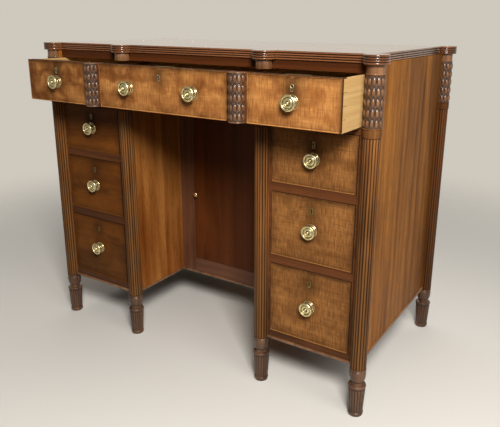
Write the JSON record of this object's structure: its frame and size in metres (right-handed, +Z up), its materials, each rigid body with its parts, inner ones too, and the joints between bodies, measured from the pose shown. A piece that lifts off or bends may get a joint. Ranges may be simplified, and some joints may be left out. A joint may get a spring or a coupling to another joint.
{
  "type": "dressing table desk",
  "caption": "Mahogany kneehole dressing table desk on reeded turned columns, with a wide frieze drawer, pedestal drawers and a set-back cupboard.",
  "frame": {"origin": "on the floor, in the middle of the box round the desk with its frieze drawer standing open", "axes": "+X to the right along the width, +Y from the drawer fronts to the back, +Z up"},
  "size_m": [0.966, 0.6215, 0.79],
  "materials": {
    "mahogany": "polished",
    "mahogany_front": "polished",
    "faded_mahogany": "polished",
    "oak": "planed",
    "pine": "planed",
    "brass": "polished"
  },
  "bodies": {
    "carcass": {"top_board": "mahogany", "top_rail": "mahogany", "neck_blocks": "mahogany", "frieze_rail": "mahogany", "left_outer_side": "mahogany", "right_outer_side": "mahogany", "left_inner_side": "mahogany", "right_inner_side": "mahogany", "front_left_column": "mahogany", "front_right_column": "mahogany", "rear_left_column": "mahogany", "rear_right_column": "mahogany", "inner_left_column": "mahogany", "inner_right_column": "mahogany", "drawer_stiles": "mahogany", "drawer_dividers": "mahogany", "base_beads": "mahogany", "cupboard_stiles": "mahogany", "cupboard_rails": "mahogany", "left_pedestal_bottom": "mahogany", "right_pedestal_bottom": "mahogany", "dust_board": "pine", "back_board": "pine", "drawer_runners": "pine", "drawer_guides": "pine", "drawer_stops": "pine", "cupboard_bottom": "pine", "door_stop": "pine", "hinge_frame_leaves": "brass", "hinge_pins": "brass"},
    "cupboard_door": {"cupboard_door": "mahogany", "hinge_door_leaves": "brass", "cupboard_knob": "brass"},
    "frieze_drawer": {"frieze_front": "faded_mahogany", "frieze_pilasters": "mahogany", "frieze_sides": "oak", "frieze_back": "oak", "frieze_bottom": "oak", "frieze_knobs": "brass", "frieze_escutcheons": "brass", "frieze_locks": "brass"},
    "left_upper_drawer": {"left_upper_drawer_front": "mahogany_front", "left_upper_drawer_box": "oak", "left_upper_drawer_brass": "brass"},
    "left_middle_drawer": {"left_middle_drawer_front": "mahogany_front", "left_middle_drawer_box": "oak", "left_middle_drawer_brass": "brass"},
    "left_lower_drawer": {"left_lower_drawer_front": "mahogany_front", "left_lower_drawer_box": "oak", "left_lower_drawer_brass": "brass"},
    "right_upper_drawer": {"right_upper_drawer_front": "mahogany_front", "right_upper_drawer_box": "oak", "right_upper_drawer_brass": "brass"},
    "right_middle_drawer": {"right_middle_drawer_front": "mahogany_front", "right_middle_drawer_box": "oak", "right_middle_drawer_brass": "brass"},
    "right_lower_drawer": {"right_lower_drawer_front": "mahogany_front", "right_lower_drawer_box": "oak", "right_lower_drawer_brass": "brass"}
  },
  "joints": [
    {"name": "frieze_drawer_slide", "type": "slide", "parent": "carcass", "child": "frieze_drawer", "axis": [0, -1, 0], "range_m": [-0.0985, 0.2]},
    {"name": "cupboard_door_hinge", "type": "hinge", "parent": "carcass", "child": "cupboard_door", "pos_m": [0.15205, 0.00845, 0.3785], "axis": [0, 0, 1], "range_deg": [0, 90]},
    {"name": "left_upper_drawer_slide", "type": "slide", "parent": "carcass", "child": "left_upper_drawer", "axis": [0, -1, 0], "range_m": [0, 0.3]},
    {"name": "left_middle_drawer_slide", "type": "slide", "parent": "carcass", "child": "left_middle_drawer", "axis": [0, -1, 0], "range_m": [0, 0.3]},
    {"name": "left_lower_drawer_slide", "type": "slide", "parent": "carcass", "child": "left_lower_drawer", "axis": [0, -1, 0], "range_m": [0, 0.3]},
    {"name": "right_upper_drawer_slide", "type": "slide", "parent": "carcass", "child": "right_upper_drawer", "axis": [0, -1, 0], "range_m": [0, 0.3]},
    {"name": "right_middle_drawer_slide", "type": "slide", "parent": "carcass", "child": "right_middle_drawer", "axis": [0, -1, 0], "range_m": [0, 0.3]},
    {"name": "right_lower_drawer_slide", "type": "slide", "parent": "carcass", "child": "right_lower_drawer", "axis": [0, -1, 0], "range_m": [0, 0.3]}
  ]
}
